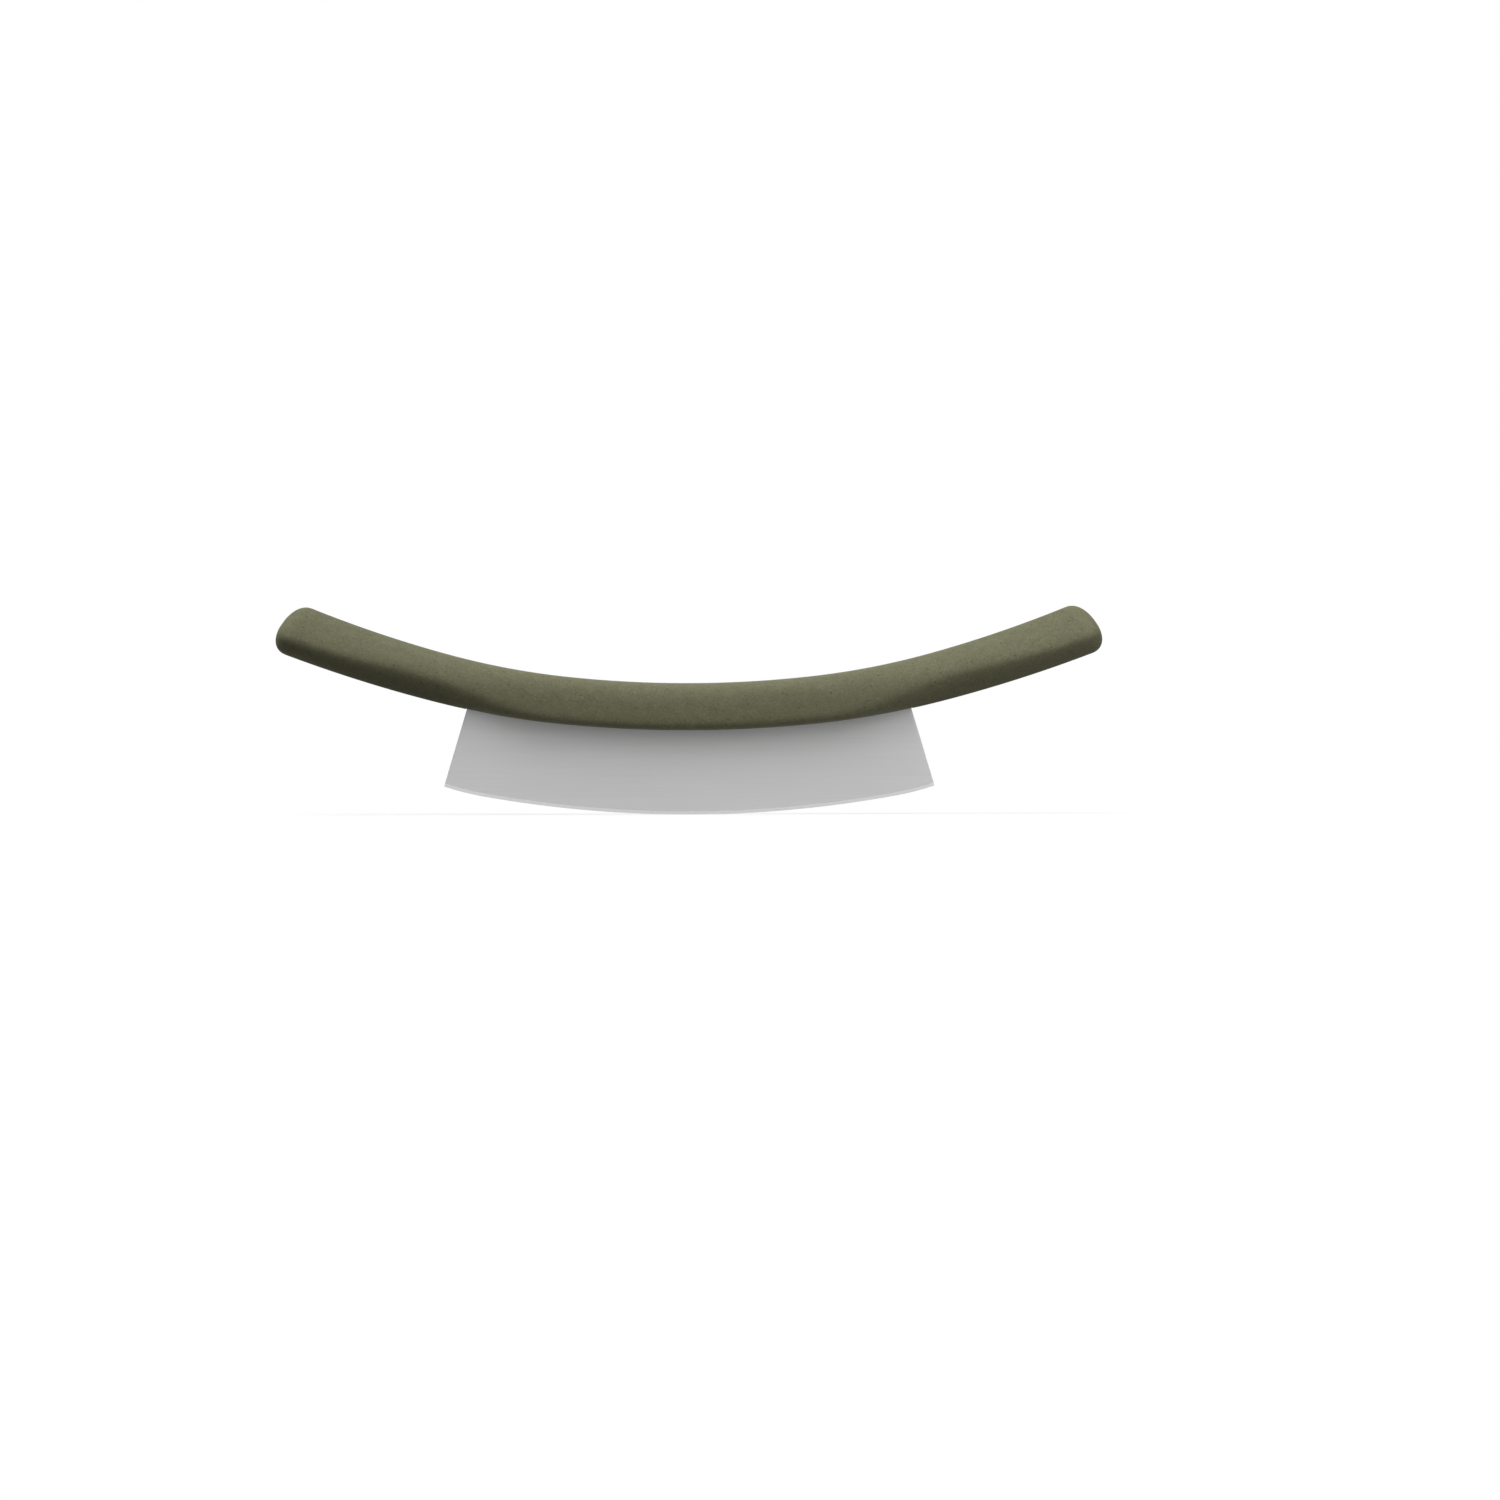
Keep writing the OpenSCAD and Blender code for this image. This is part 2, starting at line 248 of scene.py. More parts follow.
# %% [markdown]
# ## Ribs for the handle
# Cut across, the middle of the handle has a rounded top, upright sides and a small corner below.
# Out in the arms the sides slope, so that the palm lies on them, and the underside is cut back for
# the fingers.
# A boat builder would set up ribs along the keel and lay the skin over them, and that is done here.
# Each rib is half of the section, drawn as a curve through its top, widest and lowest points. A
# curve suits a rib because its handles are the same few numbers that the section was designed with,
# and they blend well.

# %% Draw the ribs
# Shares of half the width or height: run along the top, rise, widest point, fall, run along the
# underside
middle_form = (0.90, 0.45, -0.42, -0.97, 0.95)
shoulder_form = (0.48, 0.36, -0.08, -0.42, 0.32)
end_form = (0.38, 0.00, -0.34, -0.66, 0.32)
form_start, form_end = 62 * mm, 118 * mm
arm_start = 112 * mm
middle_height, end_height = 21.1 * mm, 23.6 * mm
middle_width, end_width = 22 * mm, 25.4 * mm
end_lean = math.tan(math.radians(8.5))
rib_pitch = 4 * mm
rib_steps = 10
flat_pull = 0.3  # where the curve's handles lie on the flat side, as a share of half the height


def flare(s):
    """How much of its growth the section has at a distance s: 0 in the middle, 1 at the ends."""
    return (min(abs(s), arm_end) / arm_end) ** 2


def half_height(s):
    """Half the height of the section at a distance s along the curve."""
    return mix(middle_height, end_height, flare(s)) / 2


def half_width(s):
    """Half the width of the section at a distance s along the curve."""
    return mix(middle_width, end_width, flare(s)) / 2


def form_at(s):
    """The five numbers of the section at a distance s along the curve."""
    to_shoulder, to_end = smooth(form_start, form_end, s), smooth(form_end, arm_end, s)
    form = [mix(a, b, to_shoulder) for a, b in zip(middle_form, shoulder_form)]
    return [mix(a, b, to_end) for a, b in zip(form, end_form)]


def draw_rib(s):
    """Draws the front half of the section at a distance s along the curve, as a closed outline."""
    top_run, rise, widest, fall, low_run = form_at(s)
    lean = math.copysign(end_lean, s) * smooth(arm_start, arm_end, s)

    def spot(across, up):
        point = above(s, up * half_height(s), lean)
        point.y = -across * half_width(s)
        return point

    bends = [
        (spot(0, flat_pull), spot(0, 1), spot(top_run, 1)),
        (spot(1, rise), spot(1, widest), spot(1, fall)),
        (spot(low_run, -1), spot(0, -1), spot(0, -flat_pull)),
    ]
    bpy.ops.curve.primitive_bezier_curve_add(location=(0, 0, 0))
    rib = bpy.context.object
    rib.name = "rib"
    rib.data.resolution_u = rib_steps
    spline = rib.data.splines[0]
    spline.use_cyclic_u = True
    spline.bezier_points.add(1)
    for point, (before, at, after) in zip(spline.bezier_points, bends):
        point.handle_left_type = point.handle_right_type = "FREE"
        point.handle_left, point.co, point.handle_right = before, at, after
    return rib


bpy.ops.object.select_all(action="DESELECT")
rib_count = round(arm_end / rib_pitch)
ribs = [draw_rib(i / rib_count * arm_end) for i in range(-rib_count, rib_count + 1)]
for rib in ribs:
    rib.select_set(True)
bpy.ops.object.convert(target="MESH")
bpy.ops.object.join()
front = bpy.context.object
front.name = "handle_front_skin"
print(len(ribs), "ribs of", 3 * rib_steps, "points")

# %% [markdown]
# ## Skin over the ribs
# Bridging joins each rib to the next by a band of faces. The ribs are closed along the flat side,
# where the two halves of the handle will meet, so that side gets its faces too.
# Three helpers do what a hand would do on the screen: one takes up a piece, one opens it, and one
# selects its parts by a test.

# %% Bridge the ribs
same_place = 0.001 * mm  # points closer than this are one point


def take_up(piece):
    """Makes one piece the active one, with nothing else selected."""
    bpy.ops.object.select_all(action="DESELECT")
    bpy.context.view_layer.objects.active = piece
    piece.select_set(True)


def open_piece(piece):
    """Takes up a piece and opens it for editing, with nothing selected in it."""
    take_up(piece)
    bpy.ops.object.mode_set(mode="EDIT")
    bpy.ops.mesh.select_all(action="DESELECT")


def pick(kind, test):
    """Selects only the open piece's verts, edges or faces that pass a test, and counts them."""
    bpy.ops.mesh.select_mode(type={"verts": "VERT", "edges": "EDGE", "faces": "FACE"}[kind])
    bpy.ops.mesh.select_all(action="DESELECT")
    mesh = bmesh.from_edit_mesh(bpy.context.object.data)
    picked = [part for part in getattr(mesh, kind) if test(part)]
    for part in picked:
        part.select_set(True)
    bmesh.update_edit_mesh(bpy.context.object.data)
    return len(picked)


def close_piece():
    """Merges doubled points, turns all faces outwards and leaves edit mode."""
    bpy.ops.mesh.select_all(action="SELECT")
    bpy.ops.mesh.remove_doubles(threshold=same_place)
    bpy.ops.mesh.normals_make_consistent(inside=False)
    bpy.ops.mesh.select_all(action="DESELECT")
    bpy.ops.object.mode_set(mode="OBJECT")


open_piece(front)
bpy.ops.mesh.select_all(action="SELECT")
bpy.ops.mesh.bridge_edge_loops(type="SINGLE")
print("skin of", len(bmesh.from_edit_mesh(front.data).faces), "faces")

# %% [markdown]
# ## Domed ends
# Each arm ends in a shallow dome, rounder at its rim than at its crown. By hand it is a run of
# small steps: extrude the last rib a little, draw it in towards the crown, and do it again, with
# less extrusion and more drawing in each time. The last step closes it to a point.

# %% Extrude the domes
dome_length = 8.5 * mm
dome_power = 2.2     # 2 would be an ellipse, and more is a tighter rim
dome_steps = 14
crown_drop = 1 * mm  # the crown lies this far below the handle's curve


def dome_place(step):
    """How far a step of the dome lies beyond the arm's end, and its size there."""
    angle = math.pi / 2 * step / dome_steps
    shrunk = max(0, math.cos(angle)) ** (2 / dome_power)
    return dome_length * math.sin(angle) ** (2 / dome_power), shrunk


for side in (-1, 1):
    pick("edges", lambda e: e.is_boundary and e.verts[0].co.x * side > 0)
    for step in range(1, dome_steps + 1):
        (before, size_before), (now, size) = dome_place(step - 1), dome_place(step)
        old = above(side * (arm_end + before), -crown_drop)
        new = above(side * (arm_end + now), -crown_drop)
        ratio = size / size_before if step < dome_steps else 0
        turn = along(side * (arm_end + now))[1] - along(side * (arm_end + before))[1]
        bpy.ops.mesh.extrude_edges_move(TRANSFORM_OT_translate={"value": new - old})
        bpy.ops.transform.rotate(value=turn, orient_axis="Y", center_override=new)
        bpy.ops.transform.resize(value=(ratio, ratio, ratio), center_override=new)
    bpy.ops.mesh.merge(type="CENTER")
mesh = bmesh.from_edit_mesh(front.data)
print("open edges left:", sum(e.is_boundary for e in mesh.edges))
tips = [max(v.co.x for v in mesh.verts), min(v.co.x for v in mesh.verts)]
print("tips at", [round(1000 * x, 2) for x in tips], "mm")

# %% [markdown]
# ## The seam
# The two moulded halves meet in a fine seam, which runs along the top, round the ends and along the
# underside. A moulder breaks such an edge by a fraction of a millimetre. The flat side is inset by
# that much, and the rim is then pulled back from it, which leaves a narrow chamfer all the way
# round.

# %% Break the edge of the seam
seam_land = 0.25 * mm
seam_depth = 0.15 * mm
flat = 1e-7  # metres: a point closer to a plane than this lies in it


def on_rim(vert):
    """Whether a point of the flat side also belongs to a face of the outer skin."""
    return abs(vert.co.y) < flat and any(v.co.y < -flat for f in vert.link_faces for v in f.verts)


faces = pick("faces", lambda f: all(abs(v.co.y) < flat for v in f.verts))
bpy.ops.mesh.inset(thickness=seam_land)
pick("verts", on_rim)
bpy.ops.transform.translate(value=(0, -seam_depth, 0))
close_piece()
print(faces, "faces on the flat side")

# %% [markdown]
# ## Tools for cutting
# What the halves hold was moulded into them: a recess for the blade's tang, a groove for the seal,
# bores for the pins and dowels, and a pocket that cores out each arm so that it cools without
# sinking.
# Here each is cut away with a solid of the same shape. The long ones follow the underside of the
# handle, so their cutters are swept: extrude a small step, turn a little, and go on. The short ones
# are bars across the handle, either round, or with an outline like a slot, which is a box whose
# upright edges are bevelled round.

# %% Make the cutters
def place_object(piece):
    """Moves an object's place, turn and size into its mesh."""
    take_up(piece)
    bpy.ops.object.transform_apply(location=True, rotation=True, scale=True)
    return piece


def sweep_bar(reach, low, high, thickness, middle=0):
    """A bar along the handle's underside, from -reach to reach, between two heights above it."""
    count = round(reach / rib_pitch)
    stations = [i / count * reach for i in range(-count, count + 1)]

    def spot(s):
        return above(s, (low + high) / 2 - half_height(s)) + Vector((0, middle, 0))

    bpy.ops.mesh.primitive_plane_add(size=1, location=spot(-reach),
                                     rotation=(0, math.pi / 2 - along(-reach)[1], 0))
    bar = bpy.context.object
    bar.scale = (high - low, thickness, 1)
    place_object(bar)
    open_piece(bar)
    bpy.ops.mesh.select_all(action="SELECT")
    for before, now in zip(stations, stations[1:]):
        bpy.ops.mesh.extrude_region_move(TRANSFORM_OT_translate={"value": spot(now) - spot(before)})
        bpy.ops.transform.rotate(value=along(now)[1] - along(before)[1], orient_axis="Y",
                                 center_override=spot(now))
    close_piece()
    return bar


def round_bar(s, height, diameter, length):
    """A round bar across the handle, centred at a height above its curve."""
    bpy.ops.mesh.primitive_cylinder_add(vertices=32, radius=diameter / 2, depth=length,
                                        location=above(s, height), rotation=(math.pi / 2, 0, 0))
    return place_object(bpy.context.object)


def long_bar(s, height, length, width, thickness):
    """A bar across the handle whose outline is a slot with round ends."""
    nearly_half = 0.4995  # a full half would double the points where two round corners meet
    bpy.ops.mesh.primitive_cube_add(size=1, location=(0, 0, 0))
    bar = bpy.context.object
    bar.scale = (length, thickness, width)
    place_object(bar)
    open_piece(bar)
    pick("edges", lambda e: (e.verts[0].co - e.verts[1].co).xz.length < flat)
    bpy.ops.mesh.bevel(offset=width * nearly_half, segments=10, affect="EDGES")
    close_piece()
    bar.location = above(s, height)
    bar.rotation_euler = (0, -along(s)[1], 0)
    return place_object(bar)


def cut_away(piece, cutter):
    """Takes the cutter's shape out of a piece, and puts the cutter away."""
    take_up(piece)
    bpy.ops.object.modifier_add(type="BOOLEAN")
    piece.modifiers[-1].object = cutter
    piece.modifiers[-1].operation = "DIFFERENCE"
    piece.modifiers[-1].solver = "EXACT"
    bpy.ops.object.modifier_apply(modifier=piece.modifiers[-1].name)
    bpy.data.objects.remove(cutter)


print("cutters:", ", ".join(maker.__name__ for maker in (sweep_bar, round_bar, long_bar)))

# %% [markdown]
# ## The hollows of the handle
# The tang is a tongue of the blade's sheet, 11 mm high, and its recess leaves 0.3 mm round it for
# the glue. The seal's groove is wider, but only 2 mm deep. Five pins go through the tang, low in
# the handle, and two dowels in each arm bring the halves together. All bores are 0.1 mm wider than
# their pins.
# Cutting comes after the skin is whole, because then each hollow keeps its exact size.

# %% Cut the front half
stock = 2 * mm
tang_height, tang_end, tang_gap = 11 * mm, 96.74 * mm, 0.3 * mm
seal_width, seal_height, seal_end = 1.3 * mm, 2 * mm, 98.34 * mm
run_out = 4 * mm  # a cutter reaches past what it cuts by this, or by a few times this
pin_places = [i * 40.87 * mm for i in range(-2, 3)]
dowel_places = [-170.99 * mm, -104.74 * mm, 104.74 * mm, 170.99 * mm]
bore, pin_bore_length, dowel_bore_length = 4.1 * mm, 15.5 * mm, 14.5 * mm
pocket_place = 137.87 * mm
pocket_size = (56.2 * mm, 8.6 * mm, 12 * mm)  # length, width and thickness


def pin_height(s):
    """The height of the pins' row, halfway up the tang, measured from the handle's curve."""
    return tang_height / 2 - half_height(s)


cut_away(front, sweep_bar(seal_end, -run_out, seal_height, stock + 2 * seal_width))
cut_away(front, sweep_bar(tang_end + tang_gap, -run_out, tang_height + tang_gap, stock))
for s in pin_places:
    cut_away(front, round_bar(s, pin_height(s), bore, pin_bore_length))
for s in dowel_places:
    cut_away(front, round_bar(s, 0, bore, dowel_bore_length))
for s in (-pocket_place, pocket_place):
    cut_away(front, long_bar(s, 0, *pocket_size))
print("front half after cutting:", len(front.data.polygons), "faces")

# %% [markdown]
# ## The blade's outline
# The blade is stamped from 2 mm stainless sheet. Its cutting edge is one large arc that tightens
# beside each corner. The section is the same all along the edge: a flat strip that tapers to the
# edge at its foot. So the section is drawn once, as a plane with a drawn-in foot, and spun: first
# about the far centre of the large arc, then about the near centre of the small one. Spinning keeps
# the bevel even, which no cutting by eye would.

# %% Spin half of the blade
edge_radius, edge_turn = 519 * mm, math.radians(10.289)
corner_centre, corner_turn = Vector((71.27 * mm, 0, 126.42 * mm)), math.radians(11)
blank_height = 62 * mm
edge_land = 0.2 * mm
bevel_height = 1.6875 * mm
edge_steps, corner_steps = 48, 24

bpy.ops.mesh.primitive_plane_add(size=1, location=(0, 0, (blank_height + bevel_height) / 2),
                                 rotation=(0, math.pi / 2, 0))
blade = bpy.context.object
blade.name = "blade_steel_sheet"
blade.scale = (blank_height - bevel_height, stock, 1)
place_object(blade)
open_piece(blade)
pick("edges", lambda e: all(v.co.z < bevel_height + flat for v in e.verts))
bpy.ops.mesh.extrude_edges_move(TRANSFORM_OT_translate={"value": (0, 0, -bevel_height)})
bpy.ops.transform.resize(value=(1, edge_land / stock, 1), center_override=(0, 0, 0))
bpy.ops.mesh.select_all(action="SELECT")
bpy.ops.mesh.spin(steps=edge_steps, angle=edge_turn, center=(0, 0, edge_radius), axis=(0, 1, 0))
bpy.ops.mesh.spin(steps=corner_steps, angle=corner_turn, center=corner_centre, axis=(0, 1, 0))
print("half of the blank:", len(bmesh.from_edit_mesh(blade.data).faces), "faces")

# %% [markdown]
# ## Trim and mirror the blade
# The blade's sides lean inwards as they rise. A bisecting plane through the lower corner trims the
# blank to that side and fills the cut. The faces in the middle plane are taken off first, so that
# the mirror's two halves grow together there without a wall between them.

# %% Trim and mirror the blade
side_lean = math.radians(16.6)
corner = Vector((109.7 * mm, 0, 12.74 * mm))
side_out = Vector((math.cos(side_lean), 0, math.sin(side_lean)))
pick("faces", lambda f: all(abs(v.co.x) < flat for v in f.verts))
bpy.ops.mesh.delete(type="FACE")
bpy.ops.mesh.select_all(action="SELECT")
bpy.ops.mesh.bisect(plane_co=corner, plane_no=side_out, use_fill=True, clear_outer=True)
bpy.ops.object.mode_set(mode="OBJECT")
bpy.ops.object.modifier_add(type="MIRROR")
blade.modifiers[-1].merge_threshold = 0.01 * mm
bpy.ops.object.modifier_apply(modifier=blade.modifiers[-1].name)
open_piece(blade)
close_piece()
print("blade is", round(1000 * blade.dimensions.x, 2), "mm wide at its corners")

# %% [markdown]
# ## Tang and ground faces
# The blank is cut off along the top of the tang, 11 mm above the handle's underside. Then both
# faces are ground down by 0.1 mm, from just below the handle to the edge, while the tang keeps the
# full thickness of the sheet and sits snugly in the handle. Last come the pin holes, and between
# them the windows through which the glue joins both halves. All of it follows the handle's curve,
# so the same swept bars do the cutting.

# %% Cut the tang and grind the faces
grind = 0.1 * mm
face_gap = 0.3 * mm
bare_height = 37.7 * mm
window = (20 * mm, 4.4 * mm, 2 * stock)  # length, width and thickness
past_tang = tang_end + 3 * run_out
below_edge = bare_height + 2 * run_out
trimmed_off = 20 * mm
cut_away(blade, sweep_bar(past_tang, tang_height, tang_height + trimmed_off, 2 * stock))
for side in (-1, 1):
    cut_away(blade, sweep_bar(past_tang, -below_edge, -face_gap, stock + 2 * grind, side * stock))
for s in pin_places:
    cut_away(blade, round_bar(s, pin_height(s), bore, 2 * stock))
for s in [(a + b) / 2 for a, b in zip(pin_places, pin_places[1:])]:
    cut_away(blade, long_bar(s, pin_height(s), *window))
print("blade after cutting:", len(blade.data.polygons), "faces")

# %% [markdown]
# ## The second half
# The back half comes from a mirrored mould, so it is the front one in a mirror, with a mesh of its
# own. A mirrored mesh is inside out, so its faces are turned again.
# Shading is smooth wherever two faces meet at a small angle, and stays sharp at real corners, such
# as the rims of the recesses.

# %% Mirror the half and smooth both
handle_corner, blade_corner = 30, 20  # degrees


def smooth_shading(piece, corner_angle):
    """Shades a piece smoothly, but keeps the corners that are sharper than an angle in degrees."""
    take_up(piece)
    bpy.ops.object.shade_smooth_by_angle(angle=math.radians(corner_angle))


open_piece(front)
close_piece()
bpy.ops.object.duplicate()
back = bpy.context.object
back.name = "handle_back_skin"
back.scale = (1, -1, 1)
place_object(back)
open_piece(back)
close_piece()
for half in (front, back):
    smooth_shading(half, handle_corner)
print("back half:", len(back.data.polygons), "faces")

# %% [markdown]
# ## Eased sides
# A stamped edge is sharp, and nobody wants that beside the hand, so the two leaning sides are eased
# by 0.15 mm. It is too little to see as a shape, but it catches a thin line of light, as a real
# edge does.
# The edges to bevel are told by their place: both ends lie on a side plane, and the edge runs up
# the blade and not across its thickness. The part inside the handle stays as it is.

# %% Ease the blade's sides
ease = 0.15 * mm
handle_starts = 47 * mm
near = 0.01 * mm  # a point this close to a side's plane lies on it
steep = 0.3       # an edge that runs up goes across the sheet by less than this share of its length
sharp = 1.0       # radians: two faces that meet at more than this make a corner


def on_side(vert):
    """Whether a point lies on one of the blade's two leaning sides."""
    return abs((Vector((abs(vert.co.x), 0, vert.co.z)) - corner).dot(side_out)) < near


def runs_up(edge):
    """Whether an edge of the visible blade runs up one of its sides, along a sharp corner."""
    across = abs(edge.verts[0].co.y - edge.verts[1].co.y)
    return (all(on_side(v) and v.co.z < handle_starts for v in edge.verts)
            and across < steep * edge.calc_length() and edge.calc_face_angle(0) > sharp)


open_piece(blade)
close_piece()
open_piece(blade)
eased = pick("edges", runs_up)
bpy.ops.mesh.bevel(offset=ease, segments=2, affect="EDGES")
close_piece()
smooth_shading(blade, blade_corner)
print("eased", eased, "edges of the blade")

# %% [markdown]
# ## Wood-fibre composite
# The handle is injection moulded from plastic filled with ground wood fibre, in a matt olive green.
# The fibre takes the gloss off the skin. Close up the colour is slightly mottled, with dark specks
# of bark and pale fibres that the flow in the mould has turned mostly along the handle.
# A picture could be wrapped round it, but a pattern worked out in the solid has no seams and
# follows no stretch. Two noises mottle the olive. Specks and fibres come from cells: a Voronoi
# pattern gives every cell a centre and a random colour, so a small mask round some of the centres
# leaves spots, or short dashes in long thin cells.

# %% Wood-fibre composite
composite = bpy.data.materials.new("wood_fibre_composite")
tree = empty_tree(composite)
place = add_node(tree, "TexCoord").outputs["Object"]
mottle_size, grain_size = 4 * mm, 0.8 * mm
mottle_share = 0.6  # of the grain's strength
mottle = add_node(tree, "TexNoise", {"Vector": place, "Scale": 1 / mottle_size, "Detail": 3,
                                     "Roughness": 0.6})
grain = add_node(tree, "TexNoise", {"Vector": place, "Scale": 1 / grain_size, "Detail": 2,
                                    "Roughness": 0.6})
tone = add_node(tree, "Math", {0: mottle.outputs["Fac"], 1: mottle_share, 2: grain.outputs["Fac"]},
                operation="MULTIPLY_ADD")
tone = add_node(tree, "MapRange", {"Value": tone.outputs[0], "From Min": 0.5, "From Max": 1.1})
olive = add_node(tree, "ValToRGB", {"Fac": tone.outputs[0]})
olive.color_ramp.elements[0].color = linear("#6C6B53")
olive.color_ramp.elements[1].color = linear("#848368")

# Length, width and turn of a cell, the share of cells that show, their colour and how strongly it
# covers.
# The real fibres are 0.1 to 0.3 mm wide. They are drawn about twice as wide, or the render would
# lose them.
inclusions = [
    (1.0 * mm, 1.0 * mm, 0, 0.05, "#3F3E2E", 0.40),
    (1.6 * mm, 1.3 * mm, 35, 0.03, "#39382A", 0.45),
    (2.6 * mm, 0.8 * mm, 8, 0.06, "#A9A88A", 0.20),
    (2.2 * mm, 0.8 * mm, -38, 0.04, "#A3A284", 0.20),
    (1.8 * mm, 0.7 * mm, 70, 0.03, "#B3B294", 0.22),
]
colour = olive.outputs["Color"]
for length, width, turn, share, tint, cover in inclusions:
    cells = add_node(tree, "Mapping", {"Vector": place, "Rotation": (0, math.radians(turn), 0),
                                       "Scale": (length, width, width)}, vector_type="TEXTURE")
    cells = add_node(tree, "TexVoronoi", {"Vector": cells.outputs[0], "Scale": 1})
    spot = add_node(tree, "MapRange", {"Value": cells.outputs["Distance"], "From Min": 0.2,
                                       "From Max": 0.45, "To Min": cover, "To Max": 0})
    luck = add_node(tree, "SeparateColor", {"Color": cells.outputs["Color"]})
    chosen = add_node(tree, "Math", {0: luck.outputs["Red"], 1: 1 - share},
                      operation="GREATER_THAN")
    shown = add_node(tree, "Math", {0: spot.outputs[0], 1: chosen.outputs[0]}, operation="MULTIPLY")
    covered = add_node(tree, "Mix", {"Factor": shown.outputs[0]}, data_type="RGBA")
    tree.links.new(colour, covered.inputs["A"])
    covered.inputs["B"].default_value = linear(tint)
    colour = covered.outputs["Result"]
bump = add_node(tree, "Bump", {"Height": grain.outputs["Fac"], "Strength": 0.25,
                               "Distance": 0.15 * mm})
dull = add_node(tree, "MapRange", {"Value": grain.outputs["Fac"], "To Min": 0.74, "To Max": 0.86})
skin = add_node(tree, "BsdfPrincipled", {
    "Base Color": colour, "Roughness": dull.outputs[0], "IOR": 1.5, "Specular IOR Level": 0.25,
    "Normal": bump.outputs[0]})
add_node(tree, "OutputMaterial", {"Surface": skin.outputs[0]})
print("composite:", len(tree.nodes), "nodes")

# %% [markdown]
# ## Ground steel
# The sheet is hardened stainless steel, ground on an abrasive belt that ran along the blade. The
# belt leaves lines too fine to see one by one. They spread every reflection up and down but hardly
# along the blade, so it shows an even satin grey that darkens softly under the handle, and no
# mirror image.
# The shader's anisotropy does that, with its tangent standing upright. The lines themselves only
# vary the tone a little, by a noise in long thin cells. They are 0.1 mm apart in steel and drawn at
# 0.7 mm, or none would show.

# %% Ground steel
ground_steel = bpy.data.materials.new("ground_stainless_steel")
tree = empty_tree(ground_steel)
place = add_node(tree, "TexCoord").outputs["Object"]
lines = add_node(tree, "Mapping", {"Vector": place, "Scale": (60 * mm, 0.7 * mm, 0.7 * mm)},
                 vector_type="TEXTURE")
lines = add_node(tree, "TexNoise", {"Vector": lines.outputs[0], "Scale": 1, "Detail": 3,
                                    "Roughness": 0.6})
steel = add_node(tree, "ValToRGB", {"Fac": lines.outputs["Fac"]})
steel.color_ramp.elements[0].position, steel.color_ramp.elements[1].position = 0.3, 0.7
steel.color_ramp.elements[0].color = linear("#C9C9C9")
steel.color_ramp.elements[1].color = linear("#CECECE")
satin = add_node(tree, "MapRange", {"Value": lines.outputs["Fac"], "From Min": 0.3, "From Max": 0.7,
                                    "To Min": 0.67, "To Max": 0.73})
up = add_node(tree, "CombineXYZ", {"X": 0, "Y": 0, "Z": 1})
skin = add_node(tree, "BsdfPrincipled", {
    "Base Color": steel.outputs["Color"], "Metallic": 1, "Roughness": satin.outputs[0],
    "Anisotropic": 0.95, "Tangent": up.outputs[0]})
add_node(tree, "OutputMaterial", {"Surface": skin.outputs[0]})
print("blade faces:", ground_steel.name)

# %% [markdown]
# ## The honed bevel
# The bevel was honed on a finer wheel after the faces were ground, so it is a little sharper in its
# reflections. Its lighter colour is painted highlight: it stands in for the bright line of light
# along the edge. It is still the same sheet of steel, so it is no new piece: its faces get a second
# material slot. They are told by the way they face, outwards and down.

# %% Honed bevel
honed_steel_painted_highlight = bpy.data.materials.new("honed_steel_with_painted_highlight")
tree = empty_tree(honed_steel_painted_highlight)
place = add_node(tree, "TexCoord").outputs["Object"]
strokes = add_node(tree, "Mapping", {"Vector": place, "Scale": (0.6 * mm, 0.6 * mm, 12 * mm)},
                   vector_type="TEXTURE")
strokes = add_node(tree, "TexNoise", {"Vector": strokes.outputs[0], "Scale": 1, "Detail": 2})
honed = add_node(tree, "ValToRGB", {"Fac": strokes.outputs["Fac"]})
honed.color_ramp.elements[0].position, honed.color_ramp.elements[1].position = 0.3, 0.7
# These colours are lighter than the ground faces: painted highlight for the line of light along the
# edge.
honed.color_ramp.elements[0].color = linear("#E0E0E0")
honed.color_ramp.elements[1].color = linear("#E6E6E6")
skin = add_node(tree, "BsdfPrincipled", {"Base Color": honed.outputs["Color"], "Metallic": 1,
                                         "Roughness": 0.4})
add_node(tree, "OutputMaterial", {"Surface": skin.outputs[0]})
blade.data.materials.clear()
blade.data.materials.append(ground_steel)
blade.data.materials.append(honed_steel_painted_highlight)
outward_from, outward_to, downward = 0.8, 0.95, 0.3  # shares of the direction a face looks in


def is_honed(face):
    """Whether a face looks mostly outwards and somewhat down, as the bevel's do."""
    return outward_from < abs(face.normal.y) < outward_to and face.normal.z < -downward


open_piece(blade)
honed_faces = pick("faces", is_honed)
blade.active_material_index = 1
bpy.ops.object.material_slot_assign()
bpy.ops.object.mode_set(mode="OBJECT")
print("honed faces:", honed_faces)

# %% [markdown]
# ## Rubber and drawn rod
# The seal is a moulded strip of black rubber. Its skin has the fine grain of a blasted mould, so it
# is matt, and it shows only as a dark line between handle and steel.
# The pins and dowels are cut from drawn stainless rod. Drawing leaves fine lines along the rod, and
# a reflection as soft as satin. They lie inside the handle, but they are finished all the same, as
# they show in a cut model.

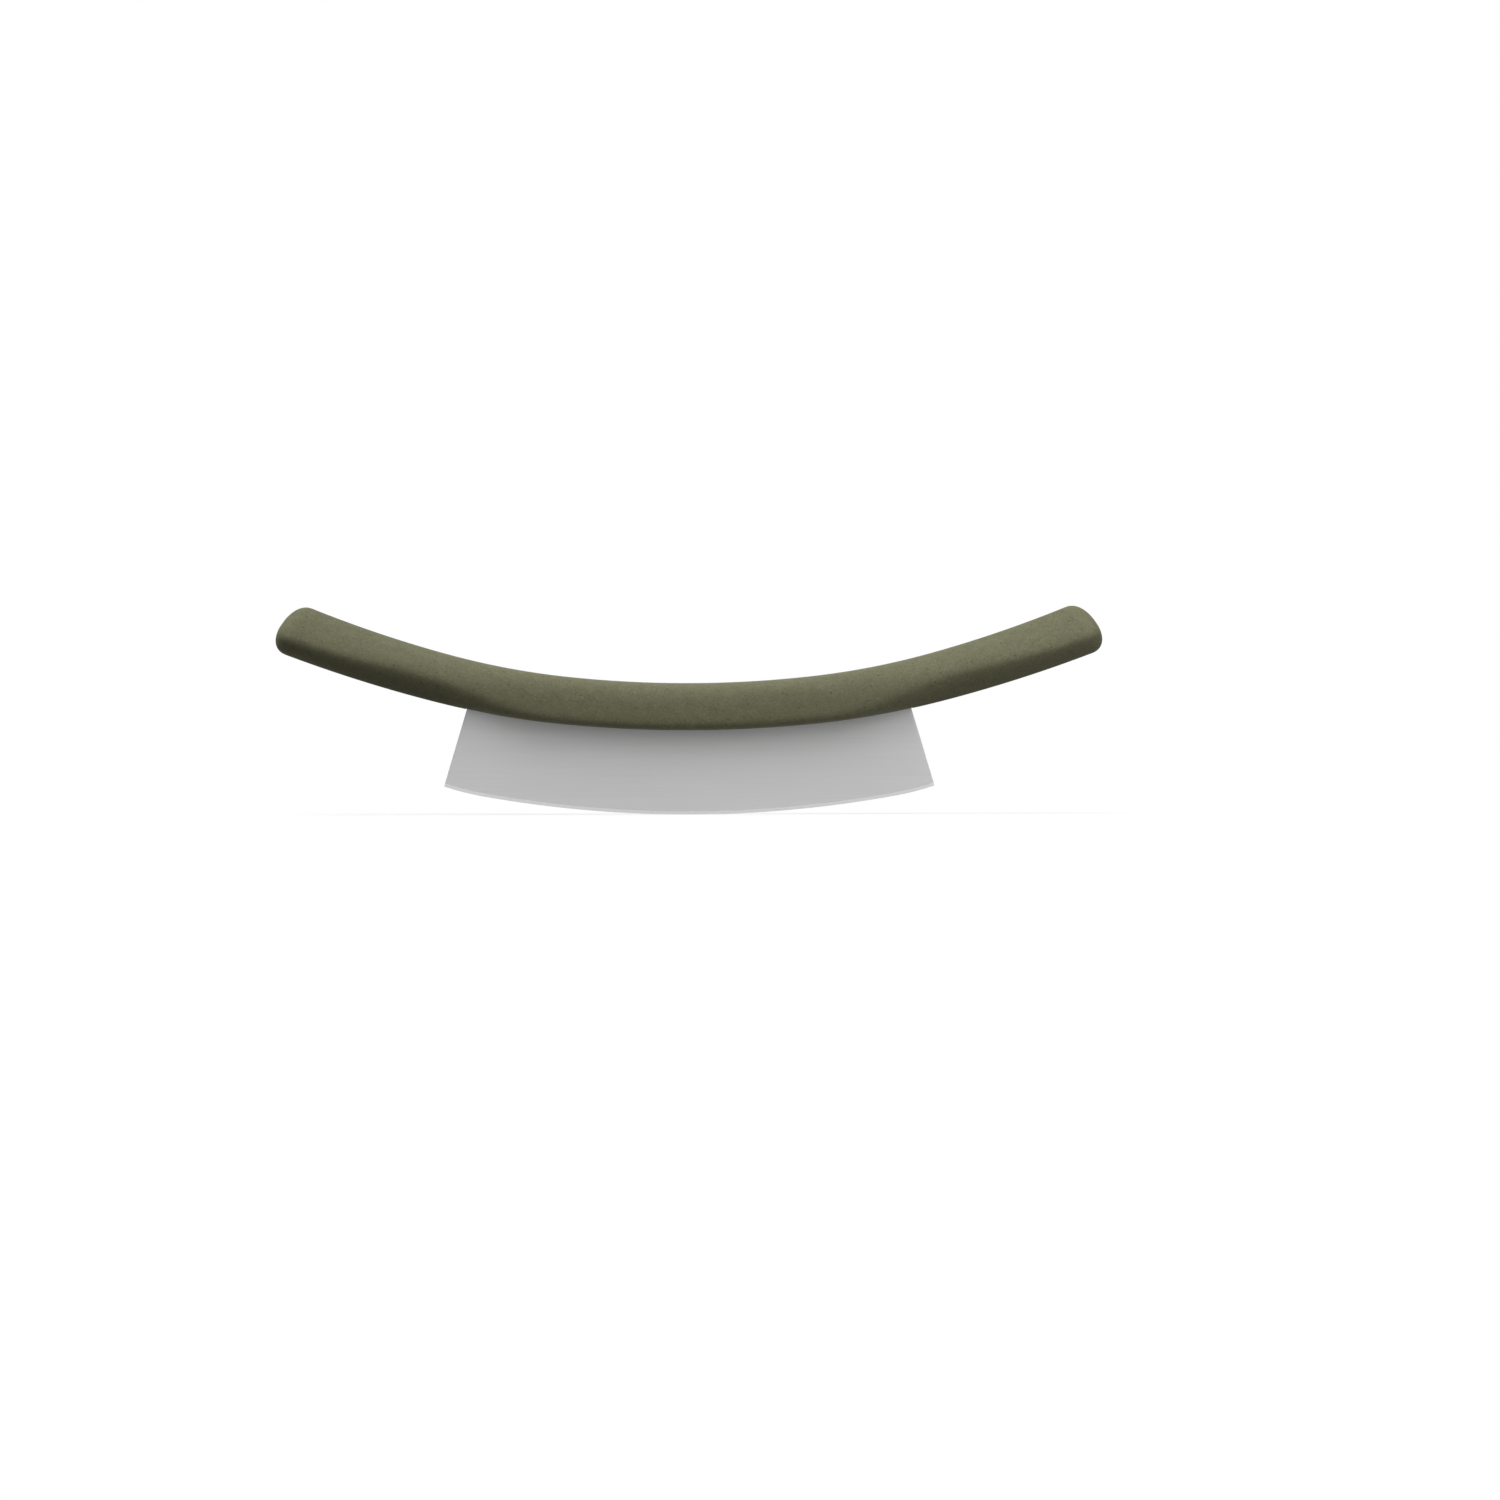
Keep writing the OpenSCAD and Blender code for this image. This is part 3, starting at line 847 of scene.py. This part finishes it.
# %% Seal rubber and pin steel
rubber = bpy.data.materials.new("moulded_black_rubber")
tree = empty_tree(rubber)
place = add_node(tree, "TexCoord").outputs["Object"]
blasted = add_node(tree, "TexNoise", {"Vector": place, "Scale": 1 / (0.4 * mm), "Detail": 2})
black = add_node(tree, "ValToRGB", {"Fac": blasted.outputs["Fac"]})
black.color_ramp.elements[0].color = linear("#242422")
black.color_ramp.elements[1].color = linear("#32322F")
bump = add_node(tree, "Bump", {"Height": blasted.outputs["Fac"], "Strength": 0.3,
                               "Distance": 0.1 * mm})
skin = add_node(tree, "BsdfPrincipled", {
    "Base Color": black.outputs["Color"], "Roughness": 0.7, "IOR": 1.5,
    "Specular IOR Level": 0.3, "Normal": bump.outputs[0]})
add_node(tree, "OutputMaterial", {"Surface": skin.outputs[0]})

drawn_steel = bpy.data.materials.new("drawn_stainless_rod")
tree = empty_tree(drawn_steel)
place = add_node(tree, "TexCoord").outputs["Object"]
draw_lines = add_node(tree, "Mapping", {"Vector": place, "Scale": (0.3 * mm, 15 * mm, 0.3 * mm)},
                      vector_type="TEXTURE")
draw_lines = add_node(tree, "TexNoise", {"Vector": draw_lines.outputs[0], "Scale": 1, "Detail": 2})
rod = add_node(tree, "ValToRGB", {"Fac": draw_lines.outputs["Fac"]})
rod.color_ramp.elements[0].color = linear("#A2A2A1")
rod.color_ramp.elements[1].color = linear("#B4B4B3")
skin = add_node(tree, "BsdfPrincipled", {"Base Color": rod.outputs["Color"], "Metallic": 1,
                                         "Roughness": 0.35})
add_node(tree, "OutputMaterial", {"Surface": skin.outputs[0]})
print("hidden metals and rubber:", rubber.name, drawn_steel.name)

# %% [markdown]
# ## Put the finishes on
# The measured seal, pins and dowels have the right shape already, so they stay and only get their
# finish. The measured halves and blade are hidden behind the new ones, and get theirs too, so that
# nothing is left bare.

# %% Put the finishes on
for half in (front, back):
    half.data.materials.clear()
    half.data.materials.append(composite)
finishes = {"handle": composite, "blade": ground_steel, "slot": rubber, "tang": drawn_steel,
            "locating": drawn_steel}
for name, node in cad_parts.items():
    node.data.materials.clear()
    node.data.materials.append(finishes[name.split("_")[0]])
print({name: node.data.materials[0].name for name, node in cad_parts.items()})

# %% [markdown]
# ## Attach the new pieces
# Each new piece rides on the tool's one body, and the measured piece that it stands for is hidden.
# The new pieces have to stay inside the measured ones.

# %% Attach the new pieces
new_pieces = [(front, "handle_front", "fibre_composite"), (back, "handle_back", "fibre_composite"),
              (blade, "blade", "blade_steel")]
for piece, node, slot in new_pieces:
    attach(piece, "root")
    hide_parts(node)
